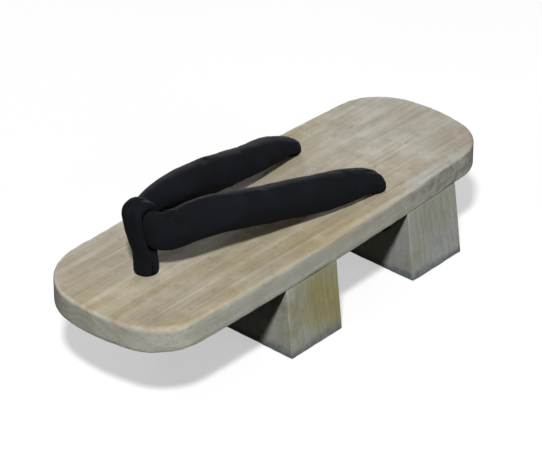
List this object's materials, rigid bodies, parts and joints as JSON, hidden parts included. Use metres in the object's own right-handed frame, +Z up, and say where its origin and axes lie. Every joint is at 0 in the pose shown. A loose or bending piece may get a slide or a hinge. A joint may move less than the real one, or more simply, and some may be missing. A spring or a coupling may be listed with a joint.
{
  "type": "geta sandal",
  "caption": "Low wooden geta sandal for the left foot: rounded board on cross teeth, with a padded dark cloth V strap held by a toe thong.",
  "frame": {"origin": "middle of the part's bounding box on the floor plane that the teeth stand on", "axes": "toe to -Y, heel to +Y, +Z up, +X to the outer side of the left foot"},
  "size_m": [0.0902, 0.24, 0.0822],
  "materials": {
    "board_wood": "bare pale grey-tan wood, fine length-wise grain, satin",
    "tooth_front_wood": "bare olive-tan wood, scuffed grey along the foot",
    "tooth_rear_wood": "bare grey wood, scuffed grey along the foot",
    "strap_cloth": "matte near-black navy woven cloth over padding",
    "thong_cloth": "matte near-black navy woven cloth"
  },
  "bodies": {
    "root": {"board": "board_wood", "tooth_front": "tooth_front_wood", "tooth_rear": "tooth_rear_wood", "strap": "strap_cloth", "toe_thong": "thong_cloth"}
  },
  "joints": []
}
